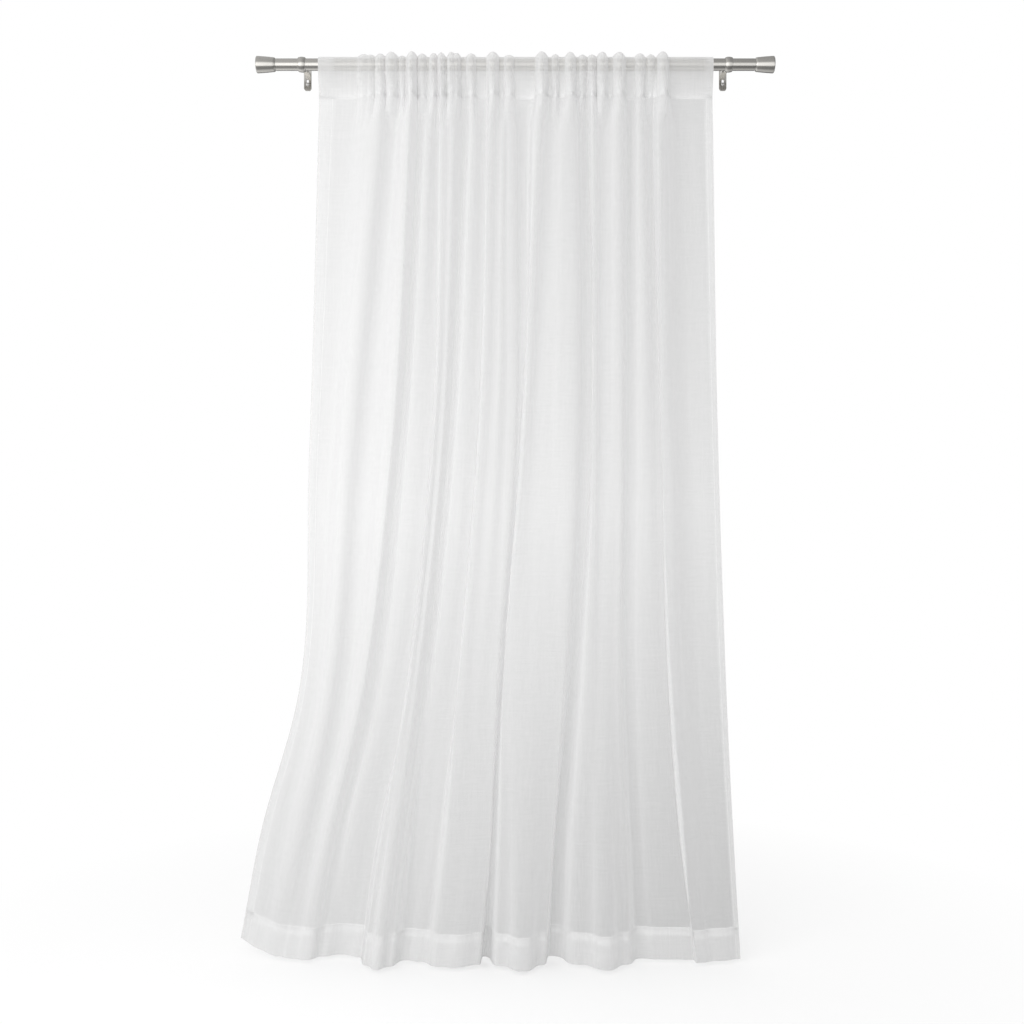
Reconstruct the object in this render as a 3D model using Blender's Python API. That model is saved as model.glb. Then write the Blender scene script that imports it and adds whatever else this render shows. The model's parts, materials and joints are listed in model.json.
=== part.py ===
"""Sheer voile curtain panel gathered on a plain metal rod, with finials and wall brackets.

Metres, +Z up, +X along the rod, +Y towards the wall. The origin is the centre of the left
bracket's wall plate, on the wall. The rod's axis runs ROD_STANDOFF in front of it.
"""

import math

import bmesh
import bpy
import numpy as np
from mathutils import Vector

MM = 0.001

# Rod, finials and brackets
ROD_STANDOFF = 0.083
BRACKET_SPACING = 1.0056
ROD_RADIUS = 0.014
ROD_WALL = 0.001
ROD_LENGTH = 1.128
FIT_GAP = 0.0003
ROUND_SIDES = 32
# Finial outline, from the rod's end outwards: (along, radius) in mm
FINIAL_OUTLINE = (
    (-14.0, 0.0), (-14.0, 12.4), (0.4, 12.4), (0.4, 14.6), (3.0, 16.2),
    (5.0, 16.6), (24.0, 18.4), (43.0, 19.7), (45.4, 18.7), (46.0, 17.4), (46.0, 0.0),
)
PLATE_WIDTH = 0.0184
PLATE_HEIGHT = 0.068
PLATE_THICKNESS = 0.003
PLATE_CORNER = 0.006
SLOT_WIDTH = 0.0052
SLOT_LENGTH = 0.015
SLOT_DROP = 0.0145
ARM_WIDTH = 0.0138
ARM_HEIGHT = 0.0066
ARM_RISE = 0.0056
RING_LENGTH = 0.0174
RING_RADIUS = 0.0178
RING_EDGE_RADIUS = 0.0160
SCREW_SHANK_RADIUS = 0.0021
SCREW_HEAD_RADIUS = 0.0042
SCREW_HEAD_HEIGHT = 0.0022
SCREW_DROP = 0.0185

# Cloth
CUT_WIDTH = 1.60
SHEET = 0.0012
HEM_SHEET = 0.0020
SIDE_HEM = 0.020
BOTTOM_HEM = 0.076
PANEL_LEFT = -0.463
PANEL_RIGHT = 0.465
POCKET_DROP = 0.080
HEM_DROP = 2.116
GATHER_START = 0.020
GATHER_REACH = 0.150
LOOP_ROUNDNESS = 0.8
POCKET_FRONT = 0.6
POCKET_BACK = 0.55
POCKET_EASE = 0.0035
ROD_CLEARANCE = 0.0036
COLUMN_SPACING = 0.0172
CREASE_RISE = 0.006

# Gathers along the rod, left to right, in mm from the rod's middle.
# across, half_width, forward (how far the fold stands out), rise (how far it lifts off the rod)
GATHERS = (
    (-356, 14, 10, 6), (-340, 10, 9, 5), (-317, 12, 15, 6), (-291, 15, 20, 10), (-266, 7, 8, 2),
    (-243, 13, 22, 11), (-219, 11, 12, 7), (-192, 10, 14, 8), (-174, 10, 18, 9),
    (-150, 11, 20, 10), (-138, 10, 16, 8), (-104, 12, 14, 7), (-53, 15, 20, 10), (-15, 12, 12, 2),
    (62, 15, 22, 10), (94, 9, 10, 6), (129, 13, 20, 10), (158, 9, 9, 5),
    (180, 10, 12, 4), (204, 13, 20, 10), (244, 15, 20, 9), (293, 12, 14, 7),
    (319, 9, 9, 6), (346, 14, 22, 10),
)

# Heights, in mm below the rod's axis, at which the long folds are set out
FOLD_DROPS = (80, 930, 1500, 1850, 2116)

# Long folds, left to right. across: mm from the rod's middle at each of the five heights;
# forward: mm in front of the rod's axis there; wrap: how far the fold's side tucks under;
# lift: mm the bottom edge is drawn up.
FOLDS = (
    ("left edge",      (-463, -488, -515, -610, -661), (0, -4, -12, -40, -73), 0.0, 36),
    ("left flat",      (-395, -445, -486, -571, -624), (-6, -8, -10, -36, -58), 0.0, 18),
    ("first ridge",    (-315, -399, -445, -519, -572), (16, 18, 12, -10, -38), 0.3, 3),
    ("valley",         (-283, -352, -410, -484, -536), (-6, -6, -10, -26, -28), 0.2, 0),
    ("second ridge",   (-244, -293, -364, -446, -496), (24, 22, 20, 0, -17), 0.3, 0),
    ("valley",         (-222, -274, -343, -421, -458), (-10, -12, -14, -34, -44), 0.2, 0),
    ("small ridge",    (-204, -256, -318, -395, -422), (4, -2, -4, -22, -62), 0.2, 0),
    ("valley",         (-180, -190, -256, -336, -372), (-12, -14, -18, -36, -40), 0.4, 0),
    ("fold 1 left",    (-173, -199, -259, -315, -354), (22, 26, 34, 34, 24), 0.3, 0),
    ("fold 1 crest",   (-146, -176, -238, -289, -322), (16, 18, 28, 46, 62), 0.2, 0),
    ("fold 1 right",   (-116, -158, -216, -261, -292), (-12, -10, -6, 20, 34), 0.2, 0),
    ("small ridge",    (-98, -140, -198, -240, -266), (6, 2, 0, -10, -14), 0.2, 0),
    ("valley",         (-66, -84, -140, -190, -225), (-8, -12, -10, 0, -2), 0.3, 0),
    ("fold 2 left",    (-60, -92, -138, -158, -180), (22, 24, 28, 36, 38), 0.3, 0),
    ("fold 2 crest",   (-31, -50, -93, -111, -142), (12, 14, 20, 32, 47), 0.2, 0),
    ("fold 2 right",   (-15, -22, -46, -58, -84), (8, 4, 14, 22, 20), 0.6, 0),
    ("valley",         (24, 22, -34, -62, -76), (-10, -14, -22, -34, -46), 0.6, 0),
    ("fold 3 left",    (57, 8, -30, -32, -38), (26, 26, 32, 36, 30), 0.3, 0),
    ("fold 3 crest",   (84, 52, 20, 16, 18), (8, 14, 34, 52, 75), 0.2, 0),
    ("fold 3 right",   (128, 122, 108, 86, 66), (18, 18, 26, 24, 22), 0.6, 0),
    ("valley",         (170, 182, 128, 94, 84), (-10, -14, -22, -36, -52), 0.6, 0),
    ("fold 4 left",    (180, 176, 166, 158, 151), (20, 24, 26, 26, 24), 0.3, 0),
    ("fold 4 crest",   (214, 210, 203, 206, 216), (8, 12, 22, 42, 66), 0.2, 0),
    ("fold 4 right",   (243, 243, 240, 252, 259), (20, 14, 14, 18, 20), 0.4, 0),
    ("valley",         (272, 272, 268, 284, 299), (-10, -12, -12, -22, -28), 0.3, 0),
    ("small ridge",    (293, 308, 306, 319, 339), (6, 0, -4, -14, -22), 0.2, 0),
    ("valley",         (322, 350, 376, 404, 420), (-10, -12, -14, -18, -18), 0.4, 0),
    ("fold 5 crest",   (332, 340, 358, 388, 428), (24, 24, 22, 14, 6), 0.2, 0),
    ("valley",         (389, 418, 437, 466, 489), (-8, -10, -12, -14, -10), 0.2, 0),
    ("right edge",     (465, 481, 501, 519, 535), (0, -6, -10, -18, -26), 0.0, 0),
)

# Levels of the faceted cloth below the pocket seam, in metres below the rod's axis
SHEET_DROPS = (
    0.080, 0.125, 0.190, 0.280, 0.420, 0.600, 0.800, 1.020,
    1.240, 1.460, 1.650, 1.800, 1.930, 2.034, 2.042, 2.116,
)
# Rows of the pocket: shares of the way from the seam up to the rod's height, then degrees from
# straight down, round the front of the rod and over it to the back
POCKET_RISES = (0.36, 0.72)
POCKET_ANGLES = (90, 132, 168, 204, 240, 270)

# Materials: (red, green, blue), roughness, metallic
VOILE = ((0.86, 0.86, 0.84), 0.85, 0.0)
SATIN_STEEL = ((0.60, 0.58, 0.55), 0.32, 1.0)
SCREW_STEEL = ((0.72, 0.71, 0.69), 0.25, 1.0)


def clear_scene():
    for obj in list(bpy.data.objects):
        bpy.data.objects.remove(obj, do_unlink=True)


def principled(name, look):
    color, roughness, metallic = look
    material = bpy.data.materials.new(name)
    material.use_nodes = True
    shader = material.node_tree.nodes["Principled BSDF"]
    shader.inputs["Base Color"].default_value = (*color, 1.0)
    shader.inputs["Roughness"].default_value = roughness
    shader.inputs["Metallic"].default_value = metallic
    return material


def mesh_object(name, points, faces, material, smooth=True):
    mesh = bpy.data.meshes.new(name)
    mesh.from_pydata([tuple(point) for point in points], [], faces)
    obj = bpy.data.objects.new(name, mesh)
    bpy.context.scene.collection.objects.link(obj)
    shape = bmesh.new()
    shape.from_mesh(mesh)
    bmesh.ops.recalc_face_normals(shape, faces=shape.faces)
    shape.to_mesh(mesh)
    shape.free()
    mesh.materials.append(material)
    for polygon in mesh.polygons:
        polygon.use_smooth = smooth
    return obj


# --- Cloth ---------------------------------------------------------------------------------


def between_levels(values, drop):
    """A fold's size at any drop, eased from the five set heights."""
    levels = np.array(FOLD_DROPS) * MM
    values = np.asarray(values, float) * MM
    slopes = np.gradient(values, levels)
    drop = min(max(drop, levels[0]), levels[-1])
    k = min(int(np.searchsorted(levels, drop, side="right")) - 1, len(levels) - 2)
    span = levels[k + 1] - levels[k]
    t = (drop - levels[k]) / span
    return (
        (2 * t**3 - 3 * t**2 + 1) * values[k]
        + (t**3 - 2 * t**2 + t) * span * slopes[k]
        + (3 * t**2 - 2 * t**3) * values[k + 1]
        + (t**3 - t**2) * span * slopes[k + 1]
    )


def gather_profile(across):
    """Forward reach and rise off the rod of the gathers at places along the rod."""
    forward = np.zeros_like(across)
    rise = np.zeros_like(across)
    for centre, half_width, reach, lift in GATHERS:
        near = np.clip(np.abs(across - centre * MM) / (half_width * MM), 0, 1)
        swell = np.cos(math.pi / 2 * near) ** LOOP_ROUNDNESS
        forward = np.maximum(forward, reach * MM * swell)
        rise = np.maximum(rise, lift * MM * swell)
    return forward, rise


def length_of(across, forward):
    return float(np.hypot(np.diff(across), np.diff(forward)).sum())


def scale_to_cut_width(across, forward):
    """How much deeper the folds must be for the row to use the whole width of cloth."""
    low, high = 0.2, 4.0
    for _ in range(24):
        middle = (low + high) / 2
        if length_of(across, forward * middle) < CUT_WIDTH:
            low = middle
        else:
            high = middle
    return low


def column_layout():
    """(fold, share) for every column: each fold gets columns by the cloth it holds."""
    columns = []
    lengths = []
    for fold, after in zip(FOLDS, FOLDS[1:]):
        runs = [
            math.hypot(after[1][i] - fold[1][i], after[2][i] - fold[2][i]) * MM
            for i in range(len(FOLD_DROPS))
        ]
        lengths.append(sum(runs) / len(runs))
    stretch = CUT_WIDTH / sum(lengths)
    for k, length in enumerate(lengths):
        count = max(2, round(length * stretch / COLUMN_SPACING))
        columns += [(k, i / count) for i in range(count)]
    columns.append((len(FOLDS) - 2, 1.0))
    return columns


def gather_row(columns):
    """Seam row: (across, forward, rise) per column, every gather walked along its own length."""
    across = []
    for k, share in columns:
        start = between_levels(FOLDS[k][1], 0)
        end = between_levels(FOLDS[k + 1][1], 0)
        fine = np.linspace(start, end, 200)
        depth, _ = gather_profile(fine)
        run = np.concatenate([[0], np.cumsum(np.hypot(np.diff(fine), np.diff(depth)))])
        across.append(float(np.interp(share * run[-1], run, fine)))
    across = np.array(across)
    forward, rise = gather_profile(across)
    return across, forward * scale_to_cut_width(across, forward), rise


def fold_row(columns, drop):
    """(across, forward) per column of the long folds at a drop."""
    across = []
    forward = []
    for k, share in columns:
        x0, x1 = (between_levels(fold[1], drop) for fold in FOLDS[k : k + 2])
        y0, y1 = (between_levels(fold[2], drop) for fold in FOLDS[k : k + 2])
        wrap = FOLDS[k][3] * math.sin(2 * math.pi * share) / (2 * math.pi)
        across.append(x0 + (x1 - x0) * (share + wrap))
        forward.append(y0 + (y1 - y0) * (1 - math.cos(math.pi * share)) / 2)
    return np.array(across), np.array(forward)


def cloth_row(columns, drop, gathers):
    """Points of the cloth's mid-surface at a drop below the rod's axis."""
    across, forward = fold_row(columns, drop)
    fade = min(max((drop - GATHER_START) / GATHER_REACH, 0.0), 1.0)
    fade = fade * fade * (3 - 2 * fade)
    across = gathers[0] * (1 - fade) + across * fade
    forward = gathers[1] * (1 - fade) + forward * fade
    forward = forward * scale_to_cut_width(across, forward)
    lift = np.array([
        FOLDS[k][4] * (1 - share) + FOLDS[k + 1][4] * share for k, share in columns
    ]) * MM
    lowered = ((drop - POCKET_DROP) / (HEM_DROP - POCKET_DROP)) ** 3
    return np.stack([across, -forward, -drop + lift * lowered], axis=1)


def pocket_rows(gathers, seam):
    """Mid-surface rows of the rod pocket, from the seam up the front, over the rod and down."""
    across, forward, rise = gathers
    inner = ROD_RADIUS + ROD_CLEARANCE
    front = inner + POCKET_FRONT * forward
    back = inner + POCKET_BACK * rise

    def wall(share, depth_on_rod, clear_of_seam):
        eased = share * share * (3 - 2 * share)
        depth = seam[:, 1] * (1 - eased) + depth_on_rod * eased
        clear = seam[:, 1] + clear_of_seam * share
        depth = np.maximum(depth, clear) if clear_of_seam > 0 else np.minimum(depth, clear)
        sideways = seam[:, 0] * (1 - share) + across * share
        return np.stack([sideways, depth, np.full_like(across, -POCKET_DROP * (1 - share))], 1)

    rows = [wall(share, -front, -POCKET_EASE) for share in POCKET_RISES]
    for degrees in POCKET_ANGLES:
        turn = math.radians(degrees)
        over = max(0.0, -math.cos(turn)) ** 2
        side = front if degrees <= 180 else back
        radius = side * (1 - over) + (inner + rise) * over
        rows.append(
            np.stack([across, -radius * math.sin(turn), -radius * math.cos(turn)], axis=1)
        )
    rows += [wall(share, back, POCKET_EASE) for share in reversed(POCKET_RISES)]
    return rows


def grid_normals(grid):
    """Normals of a grid of points, rows by columns: each splits the turn between its facets."""
    down = np.diff(grid, axis=0)
    along = np.diff(grid, axis=1)
    facets = np.cross(down[:, :-1] + down[:, 1:], along[:-1] + along[1:])
    facets /= np.linalg.norm(facets, axis=2, keepdims=True)
    padded = np.pad(facets, ((1, 1), (1, 1), (0, 0)), mode="edge")
    normals = padded[:-1, :-1] + padded[1:, :-1] + padded[:-1, 1:] + padded[1:, 1:]
    return normals / np.linalg.norm(normals, axis=2, keepdims=True)


def build_curtain(material):
    """One closed sheet: the hanging panel with its hems, and the pocket the rod runs through."""
    columns = column_layout()
    gathers = gather_row(columns)
    hanging = np.array([cloth_row(columns, drop, gathers) for drop in SHEET_DROPS])
    pocket = np.array([hanging[0], *pocket_rows(gathers, hanging[0]), hanging[0]])

    run = np.linalg.norm(np.diff(hanging[0], axis=0), axis=1)
    along = np.concatenate([[0], np.cumsum(run)])
    side_hem = (along < SIDE_HEM) | (along > along[-1] - SIDE_HEM)
    thickness = np.full(hanging.shape[:2], SHEET)
    thickness[:, side_hem] = HEM_SHEET
    thickness[np.array(SHEET_DROPS) > HEM_DROP - BOTTOM_HEM] = HEM_SHEET

    facing = grid_normals(hanging)
    facing *= np.sign(-facing[:, :, 1].mean())
    offset = facing * thickness[:, :, None] / 2
    front, back = hanging + offset, hanging - offset

    outward = grid_normals(pocket)[1:-1]
    radial = pocket[1:-1].copy()
    radial[:, :, 0] = 0
    outward *= np.sign((outward * radial).sum(axis=2).mean())
    outer = pocket[1:-1] + outward * SHEET / 2
    inner = pocket[1:-1] - outward * SHEET / 2
    share = CREASE_RISE / (POCKET_DROP * POCKET_RISES[0])
    crease = hanging[0] * (1 - share) + (pocket[1] + pocket[-2]) / 2 * share

    rows, count = hanging.shape[:2]
    turns = len(outer)
    blocks = [front.reshape(-1, 3), back.reshape(-1, 3), outer.reshape(-1, 3),
              inner.reshape(-1, 3), crease]
    starts = np.cumsum([0] + [len(block) for block in blocks])
    points = np.concatenate(blocks)
    front_at = [[starts[0] + r * count + c for c in range(count)] for r in range(rows)]
    back_at = [[starts[1] + r * count + c for c in range(count)] for r in range(rows)]
    outer_at = [[starts[2] + r * count + c for c in range(count)] for r in range(turns)]
    inner_at = [[starts[3] + r * count + c for c in range(count)] for r in range(turns)]
    crease_at = [starts[4] + c for c in range(count)]
    outer_ring = [front_at[0], *outer_at, back_at[0]]
    inner_ring = [crease_at, *inner_at, crease_at]

    faces = []
    for above, below in zip(front_at, front_at[1:]):
        faces += strip(above, below)
    for above, below in zip(back_at, back_at[1:]):
        faces += strip(above, below)
    for first, second in zip(outer_ring, outer_ring[1:]):
        faces += strip(first, second)
    for first, second in zip(inner_ring, inner_ring[1:]):
        faces += strip(first, second)
    faces += strip(front_at[-1], back_at[-1])
    for c in (0, count - 1):
        rim = [
            (front_at[r][c], back_at[r][c], back_at[r + 1][c], front_at[r + 1][c])
            for r in range(rows - 1)
        ]
        rim += [
            (outer_ring[r][c], inner_ring[r][c], inner_ring[r + 1][c], outer_ring[r + 1][c])
            for r in range(len(outer_ring) - 1)
        ]
        rim.append((front_at[0][c], crease_at[c], back_at[0][c]))
        faces += rim
    points = points + np.array([BRACKET_SPACING / 2, -ROD_STANDOFF, 0.0])
    return mesh_object("curtain_panel", points, [tuple(map(int, f)) for f in faces], material)


def strip(above, below):
    """Triangles joining two rows of point numbers, split alike on both sides of the cloth."""
    triangles = []
    for c in range(len(above) - 1):
        triangles.append((above[c], below[c], below[c + 1]))
        triangles.append((above[c], below[c + 1], above[c + 1]))
    return triangles


# --- Rod, finials, brackets ------------------------------------------------------------------


def turned(name, outline, centre, side, material):
    """A piece turned about the rod's axis. outline: (along, radius) from the inside outwards."""
    points = []
    rings = []
    for along, radius in outline:
        if radius == 0:
            rings.append([len(points)])
            points.append((centre + side * along, -ROD_STANDOFF, 0.0))
            continue
        ring = []
        for i in range(ROUND_SIDES):
            turn = 2 * math.pi * i / ROUND_SIDES
            ring.append(len(points))
            points.append((
                centre + side * along,
                -ROD_STANDOFF + radius * math.cos(turn),
                radius * math.sin(turn),
            ))
        rings.append(ring)
    faces = []
    for first, second in zip(rings, rings[1:]):
        for i in range(ROUND_SIDES):
            after = (i + 1) % ROUND_SIDES
            if len(first) == 1:
                faces.append((first[0], second[i], second[after]))
            elif len(second) == 1:
                faces.append((first[i], first[after], second[0]))
            else:
                faces.append((first[i], first[after], second[after], second[i]))
    if len(rings[0]) > 1:
        for i in range(ROUND_SIDES):
            after = (i + 1) % ROUND_SIDES
            faces.append((rings[-1][i], rings[-1][after], rings[0][after], rings[0][i]))
    return mesh_object(name, points, faces, material)


def apply_modifier(obj, kind, **settings):
    modifier = obj.modifiers.new(kind.title(), kind)
    for key, value in settings.items():
        setattr(modifier, key, value)
    bpy.context.view_layer.objects.active = obj
    bpy.ops.object.modifier_apply(modifier=modifier.name)


def rounded_box(name, size, centre, corner, material, segments=4):
    """A box with its four corners along Y rounded."""
    half_x, half_y, half_z = (value / 2 for value in size)
    ring = []
    for quarter in range(4):
        start = quarter * math.pi / 2
        sx = 1 if quarter in (0, 3) else -1
        sz = 1 if quarter in (0, 1) else -1
        for i in range(segments + 1):
            turn = start + i * math.pi / 2 / segments
            ring.append((
                sx * (half_x - corner) + corner * math.cos(turn),
                sz * (half_z - corner) + corner * math.sin(turn),
            ))
    points = [(x, y, z) for y in (-half_y, half_y) for x, z in ring]
    count = len(ring)
    faces = [tuple(range(count)), tuple(range(count, 2 * count))]
    faces += [
        (i, (i + 1) % count, count + (i + 1) % count, count + i) for i in range(count)
    ]
    obj = mesh_object(name, points, faces, material, smooth=False)
    obj.location = centre
    return obj


def box(name, size, centre):
    bpy.ops.mesh.primitive_cube_add(size=1, location=centre)
    obj = bpy.context.object
    obj.name = name
    obj.scale = size
    bpy.ops.object.transform_apply(location=False, rotation=False, scale=True)
    return obj


def cut_or_join(target, tool, operation):
    apply_modifier(target, "BOOLEAN", object=tool, operation=operation, solver="EXACT")
    bpy.data.objects.remove(tool, do_unlink=True)


def build_bracket(name, at, material):
    """Wall plate, arm and ring made in one piece, with a slot for the wall screw."""
    bracket = rounded_box(
        name,
        (PLATE_WIDTH, PLATE_THICKNESS, PLATE_HEIGHT),
        Vector((at, -PLATE_THICKNESS / 2, 0.0)),
        PLATE_CORNER,
        material,
    )
    bpy.context.view_layer.objects.active = bracket
    bracket.select_set(True)
    bpy.ops.object.transform_apply(location=True, rotation=False, scale=False)
    slot = rounded_box(
        "slot_cutter",
        (SLOT_WIDTH, PLATE_THICKNESS * 4, SLOT_LENGTH),
        Vector((at, 0.0, -SLOT_DROP)),
        SLOT_WIDTH / 2 - 0.0001,
        material,
    )
    cut_or_join(bracket, slot, "DIFFERENCE")
    arm_start = -PLATE_THICKNESS / 2
    arm_end = -ROD_STANDOFF + ROD_RADIUS
    arm = box(
        "arm",
        (ARM_WIDTH, arm_start - arm_end, ARM_HEIGHT),
        Vector((at, (arm_start + arm_end) / 2, ARM_RISE)),
    )
    cut_or_join(bracket, arm, "UNION")
    half = RING_LENGTH / 2
    ring_outline = (
        (-half, 0.0), (-half, RING_EDGE_RADIUS), (-half * 0.55, RING_RADIUS - 0.0005),
        (0.0, RING_RADIUS), (half * 0.55, RING_RADIUS - 0.0005), (half, RING_EDGE_RADIUS),
        (half, 0.0),
    )
    ring = turned("ring", ring_outline, at, 1, material)
    cut_or_join(bracket, ring, "UNION")
    bore_radius = ROD_RADIUS + FIT_GAP
    bore = turned(
        "bore_cutter",
        ((-RING_LENGTH, 0.0), (-RING_LENGTH, bore_radius), (RING_LENGTH, bore_radius),
         (RING_LENGTH, 0.0)),
        at, 1, material,
    )
    cut_or_join(bracket, bore, "DIFFERENCE")
    bracket.data.materials.clear()
    bracket.data.materials.append(material)
    return bracket


def build_wall_screw(name, at, material):
    """Round-headed screw whose head stands on the plate; the shank ends at the wall."""
    outline = (
        (FIT_GAP, 0.0),
        (FIT_GAP, SCREW_SHANK_RADIUS),
        (PLATE_THICKNESS + FIT_GAP, SCREW_SHANK_RADIUS),
        (PLATE_THICKNESS + FIT_GAP, SCREW_HEAD_RADIUS),
        (PLATE_THICKNESS + FIT_GAP + SCREW_HEAD_HEIGHT * 0.6, SCREW_HEAD_RADIUS * 0.86),
        (PLATE_THICKNESS + FIT_GAP + SCREW_HEAD_HEIGHT, SCREW_HEAD_RADIUS * 0.45),
        (PLATE_THICKNESS + FIT_GAP + SCREW_HEAD_HEIGHT, 0.0),
    )
    screw = turned(name, outline, 0.0, 1, material)
    for vertex in screw.data.vertices:
        out, across, up = vertex.co.x, vertex.co.y + ROD_STANDOFF, vertex.co.z
        vertex.co = (at + across, -out, up - SCREW_DROP)
    return screw


clear_scene()
voile = principled("voile", VOILE)
satin_steel = principled("satin_steel", SATIN_STEEL)
screw_steel = principled("screw_steel", SCREW_STEEL)

build_curtain(voile)
middle = BRACKET_SPACING / 2
bore = ROD_RADIUS - ROD_WALL
turned(
    "rod_tube",
    ((-ROD_LENGTH / 2, bore), (-ROD_LENGTH / 2, ROD_RADIUS), (ROD_LENGTH / 2, ROD_RADIUS),
     (ROD_LENGTH / 2, bore)),
    middle, 1, satin_steel,
)
finial = [(along * MM, radius * MM) for along, radius in FINIAL_OUTLINE]
turned("finial_left", finial, middle - ROD_LENGTH / 2, -1, satin_steel)
turned("finial_right", finial, middle + ROD_LENGTH / 2, 1, satin_steel)
build_bracket("bracket_left", 0.0, satin_steel)
build_bracket("bracket_right", BRACKET_SPACING, satin_steel)
build_wall_screw("wall_screw_left", 0.0, screw_steel)
build_wall_screw("wall_screw_right", BRACKET_SPACING, screw_steel)
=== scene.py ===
"""Looks for the sheer voile curtain on its rod: cloth, stitching, satin metal, light, camera."""

import json
import math

import bmesh
import bpy
import numpy as np
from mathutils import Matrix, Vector


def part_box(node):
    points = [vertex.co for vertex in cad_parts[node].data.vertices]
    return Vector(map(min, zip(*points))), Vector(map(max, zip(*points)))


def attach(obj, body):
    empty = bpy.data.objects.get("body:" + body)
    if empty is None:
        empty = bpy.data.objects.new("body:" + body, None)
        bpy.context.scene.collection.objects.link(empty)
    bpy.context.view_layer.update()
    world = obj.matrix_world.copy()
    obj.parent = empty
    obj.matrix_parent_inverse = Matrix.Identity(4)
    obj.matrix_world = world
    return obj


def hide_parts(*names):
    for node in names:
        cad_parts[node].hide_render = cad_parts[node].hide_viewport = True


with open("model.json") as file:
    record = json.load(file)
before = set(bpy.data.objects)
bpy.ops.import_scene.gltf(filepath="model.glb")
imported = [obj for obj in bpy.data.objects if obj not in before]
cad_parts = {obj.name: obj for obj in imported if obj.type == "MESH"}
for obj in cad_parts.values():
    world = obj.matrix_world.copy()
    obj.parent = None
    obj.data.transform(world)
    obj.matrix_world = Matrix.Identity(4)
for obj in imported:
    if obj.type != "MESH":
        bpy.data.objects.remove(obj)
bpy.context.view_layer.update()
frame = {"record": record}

MM = 0.001

# --- Sizes, in metres unless named otherwise ----------------------------------------------------

record = frame["record"]
mounts = {mount["name"]: Vector(mount["pos_m"]) for mount in record["mounts"]}
LEFT_PLATE = mounts["wall_plate_left"]
RIGHT_PLATE = mounts["wall_plate_right"]
rod_low, rod_high = (Vector(corner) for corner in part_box("rod_tube"))
ROD_MIDDLE = (rod_low + rod_high) / 2
ROD_RADIUS = (rod_high.z - rod_low.z) / 2
ROD_LENGTH = rod_high.x - rod_low.x
PANEL_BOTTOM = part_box("curtain_panel")[0][2]

# The cloth: its width once the sides are hemmed, its length flat, and its hems
CUT_WIDTH = 1.60
FLAT_LENGTH = 2.345
SIDE_HEM = 0.020
BOTTOM_HEM = 0.076
TURNED_EDGE = 0.008
# Drops below the rod's axis of the pocket's seam and the bottom edge
POCKET_DROP = 0.080
HEM_DROP = 2.116
# Where the gathers begin to open into the long folds, and over what drop they do
GATHER_START = 0.020
GATHER_REACH = 0.150
# Below 1 the loops over the rod are rounder than a cosine
LOOP_ROUNDNESS = 0.8
ROD_CLEARANCE = 0.0032
# Between the layers of a hem, and how many of those a bottom hem and its turned edge lie back
LAYER_GAP = 0.0008
HEM_LAYERS_BACK = 2.6
TURNED_LAYERS_BACK = 1.3
# Shares of a gather's reach and rise that the pocket's front and back take up on the rod
POCKET_FRONT = 0.6
POCKET_BACK = 0.55
POCKET_EASE = 0.0035
# Sizes of the sheet's quads, across the cloth and round the pocket
COLUMN_SPACING = 0.0039
LEAST_COLUMNS = 4
POCKET_CLIMB, POCKET_SPACING = 0.9, 0.11
POCKET_TURN = 13
TURNED_ROWS = 3

# Gathers along the rod, left to right, in mm from the rod's middle.
# across, half_width, forward (how far the fold stands out), rise (how far it lifts off the rod)
GATHERS = (
    (-356, 14, 10, 6), (-340, 10, 9, 5), (-317, 12, 15, 6), (-291, 15, 20, 10), (-266, 7, 8, 2),
    (-243, 13, 22, 11), (-219, 11, 12, 7), (-192, 10, 14, 8), (-174, 10, 18, 9),
    (-150, 11, 20, 10), (-138, 10, 16, 8), (-104, 12, 14, 7), (-53, 15, 20, 10), (-15, 12, 12, 2),
    (62, 15, 22, 10), (94, 9, 10, 6), (129, 13, 20, 10), (158, 9, 9, 5),
    (180, 10, 12, 4), (204, 13, 20, 10), (244, 15, 20, 9), (293, 12, 14, 7),
    (319, 9, 9, 6), (346, 14, 22, 10),
)

# Heights, in mm below the rod's axis, at which the long folds are set out
FOLD_DROPS = (80, 930, 1500, 1850, 2116)

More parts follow.
